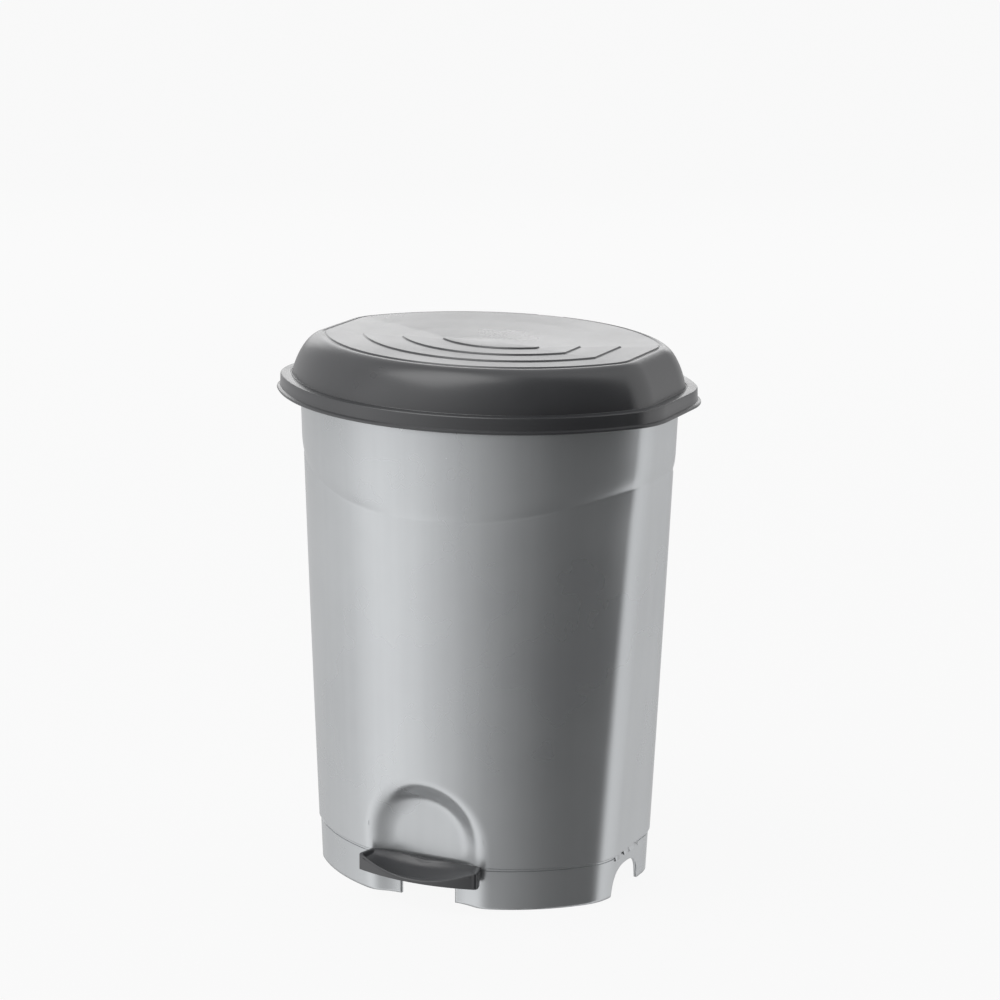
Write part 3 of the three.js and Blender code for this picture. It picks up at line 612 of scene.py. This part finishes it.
def lidRows():
    lip, ledge, foot = lidSize["lip"], lidSize["ledge"], lidSize["foot"]
    # lip, skirt, ledge and the groove at the shoulder's foot, as insets in millimetres and heights
    rows = [
        (0.9, lip), (0.3, lip + 0.15 * mm), (0, lip + 0.6 * mm), (0, lip + 1.4 * mm),
        (0.3, lip + 2.0 * mm), (1.2, lip + 2.5 * mm), (2.3, lip + 2.9 * mm), (2.6, lip + 3.6 * mm),
        (2.75, mix(lip, ledge, 0.55)), (2.9, ledge - 1.4 * mm), (3.1, ledge - 0.6 * mm),
        (3.6, ledge - 0.1 * mm), (4.3, ledge), (7.5, ledge + 0.15 * mm), (10.2, ledge + 0.2 * mm),
        (10.9, ledge), (11.3, ledge - 0.5 * mm), (11.7, ledge - 0.6 * mm), (12.0, ledge - 0.3 * mm),
    ]
    shoulderSteps = 18
    for i in range(shoulderSteps + 1):
        angle = math.pi / 2 * i / shoulderSteps
        share = lidSize["lean"] * math.sin(angle) + (1 - lidSize["lean"]) * (1 - math.cos(angle))
        rows.append((mix(foot, lidSize["crestInset"], share), ledge + lidSize["dome"] * mm * math.sin(angle)))
    crestInset, channel = lidSize["crestInset"], lidSize["channel"]
    rows += [(crestInset + 0.5, lidSize["crest"] - 0.15 * mm), (crestInset + 1.2, channel + 0.15 * mm),
             (crestInset + 1.7, channel)]
    for i in range(lidSize["steps"] + 1):
        # each step rises at its edge, and its top slopes down to the next one
        inset = lidSize["panelInset"] + i * lidSize["stepSpacing"]
        low = channel - i * lidSize["stepFall"] * mm
        high = low + lidSize["stepRise"] * mm
        run = lidSize["stepRun"]
        rows += [
            (inset - 0.5, low), (inset, low + 0.1 * mm), (inset + 0.25, low + 0.3 * mm),
            (inset + run - 0.25, high - 0.3 * mm), (inset + run, high - 0.08 * mm),
            (inset + run + 0.5, high),
        ]
    return rows


def makeLid():
    bm, rings = ringStack("lidSkin", planColumns(), lidRows(), lidPoint)
    top = rings[-1][0].co.z
    closePole(bm, rings[-1], (0, lidSize["panelShift"], top))
    windows = []
    for face in bm.faces:
        middle = face.calc_center_median()
        across = lidSize["windowInner"] < abs(middle.x) < lidSize["windowOuter"]
        if across and middle.y > 0 and middle.z < lidSize["windowTop"]:
            windows.append(face)
    bmesh.ops.delete(bm, geom=windows, context="FACES")
    return finishPiece(
        "lidSkin", bm, "lid", anthracitePlastic, 28, lidSize["wall"], ["lid"]
    )


def makeLidFittings():
    # the slotted crank and the two ears of the hinge
    bm = keptPart("lidFittings", "lid", [
        boxMm((11.9, 18.1), (85, 125), (360, 436.2)),
        boxMm((-35.1, -24.9), (128, 142.2), (385, 402.9)),
        boxMm((24.9, 35.1), (128, 142.2), (385, 402.9)),
        boxMm((-35.1, -24.9), (128, 138.5), (402.9, 405.6)),
        boxMm((24.9, 35.1), (128, 138.5), (402.9, 405.6)),
    ])
    return finishPiece("lidFittings", bm, "lid", anthracitePlastic)


makeLid()
makeLidFittings()
print("lid made")


# ---- pedal tread ----

tread = {
    "half": 49.8 * mm, "flare": 3.2 * mm, "backY": -104.5 * mm, "endY": -121 * mm, "frontY": -130 * mm,
    "top": 36 * mm, "bottom": 22.5 * mm, "frontDip": 11.5 * mm, "middleDip": 2.2 * mm, "backSlope": 3.2 * mm,
    "rim": 2.6 * mm, "rimBand": 7.2 * mm, "roll": 1.5 * mm, "dish": 1.8 * mm,
    "wall": 2.2 * mm, "endCorner": 2.5 * mm,
    "middleY": -116 * mm, "frontSteps": 64, "endSteps": 10, "backSteps": 48,
}


def treadFront(x):
    sagitta = tread["endY"] - tread["frontY"]
    radius = (tread["half"] ** 2 + sagitta ** 2) / (2 * sagitta)
    return tread["frontY"] + radius - math.sqrt(radius ** 2 - x ** 2)


def treadOutline():
    half, soft = tread["half"], tread["endCorner"]
    points = []
    for i in range(tread["backSteps"]):
        points.append((mix(-half + soft, half - soft, i / tread["backSteps"]), tread["backY"]))
    for i in range(tread["endSteps"]):
        turn = math.pi / 2 * i / tread["endSteps"]
        points.append((half - soft + soft * math.sin(turn), tread["backY"] - soft + soft * math.cos(turn)))
    for i in range(tread["endSteps"]):
        points.append((half, mix(tread["backY"] - soft, tread["endY"] + soft, i / tread["endSteps"])))
    for i in range(tread["endSteps"] + 1):
        turn = math.pi / 2 * i / tread["endSteps"]
        x = half - soft * (1 - math.cos(turn))
        points.append((x, mix(tread["endY"] + soft, treadFront(half - soft), math.sin(turn))))
    front = [(x, treadFront(x)) for x in
             (mix(half - soft, -half + soft, i / tread["frontSteps"]) for i in range(1, tread["frontSteps"]))]
    left = [(-x, y) for x, y in reversed(points[tread["backSteps"]:])]
    return points + front + left


def treadTop(x, y):
    across = min(abs(x) / tread["half"], 1)
    depth = (tread["backY"] - y) / (tread["backY"] - treadFront(min(abs(x), tread["half"])))
    depth = min(max(depth, 0), 1)
    bowl = (1 - across ** 2) ** 1.2
    dip = tread["frontDip"] * depth ** 1.5 + tread["middleDip"] * math.sin(math.pi * depth)
    return tread["top"] - bowl * dip


def makeTread():
    middleY = tread["middleY"]
    outline = treadOutline()

    def treadPoint(row, point):
        kind, value = row
        x, y = point
        forward = smooth((tread["backY"] - y) / (tread["backY"] - tread["endY"]))
        flared = x * (1 + tread["flare"] / tread["half"] * forward)
        reach = math.hypot(x, y - middleY)
        if kind == "skirt":
            z = mix(treadTop(x, y) - tread["roll"], tread["bottom"], value)
            back = smooth((y - tread["endY"]) / (tread["backY"] - tread["endY"]) * 2 - 1)
            lean = tread["backSlope"] * (tread["top"] - z) / (tread["top"] - tread["bottom"]) * back
            return flared, y - lean, z
        edge = value if kind == "rim" else reach - (reach - tread["rimBand"]) * value
        inward = 1 - edge / reach
        px, py = x * inward, middleY + (y - middleY) * inward
        depth = (tread["backY"] - py) / (tread["backY"] - tread["frontY"])
        z = treadTop(px, py) - tread["dish"] * smooth((edge - tread["rim"]) / (3 * mm)) * smooth(depth * 3)
        drop = max(tread["roll"] - edge, 0)
        z -= tread["roll"] - math.sqrt(max(tread["roll"] ** 2 - drop ** 2, 0))
        return flared * inward, py, z

    rows = [("top", share) for share in (0.1, 0.3, 0.5, 0.7, 0.88)]
    rows += [("rim", inset * mm) for inset in (7.2, 6.4, 5.6, 4.8, 4, 3.2, 2.4, 1.6, 1.1, 0.7, 0.4, 0.15, 0)]
    rows += [("skirt", share) for share in (0.15, 0.4, 0.7, 0.95, 1)]
    bm, rings = ringStack("pedalTread", outline, rows, treadPoint)
    closePole(bm, rings[0], (0, middleY, treadTop(0, middleY) - tread["dish"]))
    return finishPiece(
        "pedalTread", bm, "pedal", anthracitePlastic, 50, tread["wall"], ["pedal_tread"]
    )


makeTread()
print("tread made")


# ---- camera, floor and light ----

camera = {
    "turn": 26.0, "rise": 15.8, "roll": 0.45, "distance": 2.67, "lens": 118.0, "aim": (0, 0, 0.222),
    "shiftX": 0.0145, "shiftY": 0.1025,
}
studio = {"white": 0.956, "floorSize": 30.0, "floorShade": 0.04}


def makeCamera():
    turn, rise = math.radians(camera["turn"]), math.radians(camera["rise"])
    outward = Vector((math.sin(turn) * math.cos(rise), -math.cos(turn) * math.cos(rise), math.sin(rise)))
    data = bpy.data.cameras.new("camera")
    data.lens = camera["lens"]
    data.sensor_width = 36
    data.shift_x = camera["shiftX"]
    data.shift_y = camera["shiftY"]
    holder = bpy.data.objects.new("camera", data)
    scene.collection.objects.link(holder)
    holder.location = Vector(camera["aim"]) + outward * camera["distance"]
    roll = Quaternion((0, 0, 1), math.radians(camera["roll"]))
    holder.rotation_euler = ((-outward).to_track_quat("-Z", "Y") @ roll).to_euler()
    scene.camera = holder


def makeFloor():
    bm = bmesh.new()
    bmesh.ops.create_grid(bm, x_segments=2, y_segments=2, size=studio["floorSize"] / 2)
    mesh = bpy.data.meshes.new("floor")
    bm.to_mesh(mesh)
    bm.free()
    floor = bpy.data.objects.new("floor", mesh)
    scene.collection.objects.link(floor)
    material = bpy.data.materials.new("paleFloor")
    material.use_nodes = True
    tree = material.node_tree
    tree.nodes.clear()
    output = tree.nodes.new("ShaderNodeOutputMaterial")
    glow = addNode(tree, "ShaderNodeEmission")
    glow.inputs["Color"].default_value = (studio["white"],) * 3 + (1,)
    chalk = addNode(tree, "ShaderNodeBsdfDiffuse")
    chalk.inputs["Color"].default_value = (0.9, 0.9, 0.9, 1)
    blend = addNode(tree, "ShaderNodeMixShader")
    blend.inputs[0].default_value = studio["floorShade"]
    link(tree, glow.outputs[0], blend.inputs[1])
    link(tree, chalk.outputs[0], blend.inputs[2])
    gone = addNode(tree, "ShaderNodeBsdfTransparent")
    path = tree.nodes.new("ShaderNodeLightPath")
    pick = addNode(tree, "ShaderNodeMixShader")
    link(tree, path.outputs["Is Camera Ray"], pick.inputs[0])
    link(tree, gone.outputs[0], pick.inputs[1])
    link(tree, blend.outputs[0], pick.inputs[2])
    link(tree, pick.outputs[0], output.inputs["Surface"])
    floor.data.materials.append(material)


def makeSurround():
    # softboxes and flags round the object, as one bright and dark band of the world
    world = bpy.data.worlds.new("studio")
    scene.world = world
    world.use_nodes = True
    tree = world.node_tree
    tree.nodes.clear()
    output = tree.nodes.new("ShaderNodeOutputWorld")
    place = tree.nodes.new("ShaderNodeTexCoord")
    axes = tree.nodes.new("ShaderNodeSeparateXYZ")
    link(tree, place.outputs["Generated"], axes.inputs[0])
    back = addNode(tree, "ShaderNodeMath", operation="MULTIPLY")
    back.inputs[1].default_value = -1
    link(tree, axes.outputs["Y"], back.inputs[0])
    angle = addNode(tree, "ShaderNodeMath", operation="ARCTAN2")
    link(tree, axes.outputs["X"], angle.inputs[0])
    link(tree, back.outputs[0], angle.inputs[1])
    share = addNode(tree, "ShaderNodeMapRange")
    share.inputs["From Min"].default_value = -math.pi
    share.inputs["From Max"].default_value = math.pi
    link(tree, angle.outputs[0], share.inputs["Value"])
    ramp = tree.nodes.new("ShaderNodeValToRGB")
    link(tree, share.outputs[0], ramp.inputs["Fac"])
    # light round the object by angle from its front, toward its right
    bands = [
        (-180, 0.7), (-120, 0.66), (-78, 0.9), (-54, 1.45), (-28, 1.22), (-2, 0.74),
        (16, 0.44), (36, 0.2), (52, 0.08), (95, 0.06), (105, 1.4), (172, 0.7),
    ]
    stops = ramp.color_ramp.elements
    while len(stops) < len(bands):
        stops.new(0.5)
    for stop, (degrees, level) in zip(stops, bands):
        stop.position = (degrees + 180) / 360
    for stop, (degrees, level) in zip(sorted(stops, key=lambda s: s.position), bands):
        stop.color = (level, level, level * 1.005, 1)
    light = addNode(tree, "ShaderNodeBackground", Strength=1.0)
    link(tree, ramp.outputs["Color"], light.inputs["Color"])
    seen = addNode(tree, "ShaderNodeBackground", Strength=1.0)
    seen.inputs["Color"].default_value = (studio["white"],) * 3 + (1,)
    path = tree.nodes.new("ShaderNodeLightPath")
    pick = addNode(tree, "ShaderNodeMixShader")
    link(tree, path.outputs["Is Camera Ray"], pick.inputs[0])
    link(tree, light.outputs[0], pick.inputs[1])
    link(tree, seen.outputs[0], pick.inputs[2])
    link(tree, pick.outputs[0], output.inputs["Surface"])


def softBox(name, place, aim, size, power):
    data = bpy.data.lights.new(name, "AREA")
    data.shape = "RECTANGLE"
    data.size, data.size_y = size
    data.energy = power
    lamp = bpy.data.objects.new(name, data)
    scene.collection.objects.link(lamp)
    lamp.location = place
    lamp.rotation_euler = (Vector(aim) - Vector(place)).to_track_quat("-Z", "Y").to_euler()
    lamp.visible_camera = False


makeCamera()
makeFloor()
makeSurround()
softBox("backSoftBox", (-1.6, 3.0, 1.35), (0, 0, 0.4), (3.4, 1.2), 20)
softBox("topSoftBox", (-0.6, -0.6, 2.2), (0, 0, 0.3), (1.2, 1.2), 10)
scene.view_settings.view_transform = "Standard"
print("camera and studio made")
